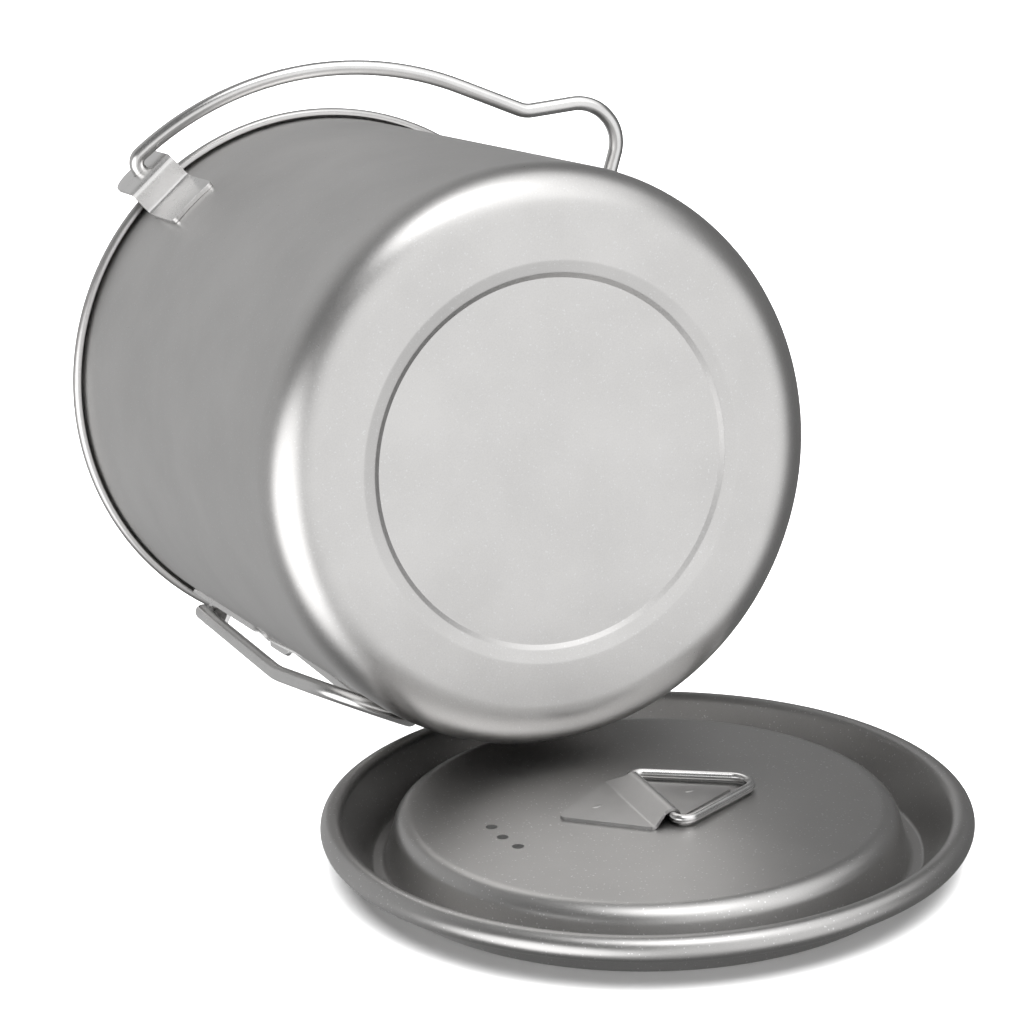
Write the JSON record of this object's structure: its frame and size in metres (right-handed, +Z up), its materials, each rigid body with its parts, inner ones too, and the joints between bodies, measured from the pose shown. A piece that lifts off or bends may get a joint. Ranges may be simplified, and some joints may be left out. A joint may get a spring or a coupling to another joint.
{
  "type": "cooking pot set",
  "caption": "Deep camping pot lying on its side with a wire bail and a folding side handle, and a vented lid with a folding ring grip laid flat in front of it.",
  "frame": {"origin": "middle of the whole set's box in X and Y, on the floor the set lies on", "axes": "+Z up; +Y along the lying pot from its base towards its mouth; the pot's base and the lid face -Y"},
  "size_m": [0.1306, 0.2264, 0.1306],
  "materials": {
    "titanium_sheet": "fine bead-blasted titanium sheet, satin",
    "titanium_wire": "drawn titanium wire, semi-polished",
    "titanium_fitting": "rolled titanium strip, fine satin"
  },
  "bodies": {
    "pot": {"pot_body": "titanium_sheet", "bail_bracket_left": "titanium_fitting", "bail_bracket_right": "titanium_fitting", "side_bracket": "titanium_fitting"},
    "bail": {"bail_handle": "titanium_wire"},
    "folding_handle": {"side_handle": "titanium_wire"},
    "lid": {"lid_shell": "titanium_sheet", "lid_grip_plate": "titanium_fitting"},
    "grip_ring": {"lid_grip_ring": "titanium_wire"}
  },
  "joints": [
    {"name": "bail_hinge", "type": "hinge", "parent": "pot", "child": "bail", "pos_m": [-0.00579, 0.10187, 0.05949], "axis": [-0.6293, 0.0731, 0.7737], "range_deg": [-23, 205]},
    {"name": "side_handle_hinge", "type": "hinge", "parent": "pot", "child": "folding_handle", "pos_m": [-0.03298, 0.09037, 0.00697], "axis": [0.891, -0.0427, -0.452], "range_deg": [0, 90]},
    {"name": "lid_slide", "type": "slide", "parent": "pot", "child": "lid", "axis": [0, -1, 0], "range_m": [0, 0.15]},
    {"name": "ring_hinge", "type": "hinge", "parent": "lid", "child": "grip_ring", "pos_m": [0.00041, -0.05075, 0.01115], "axis": [-0.0523, -0.9986, 0], "range_deg": [0, 105]}
  ]
}
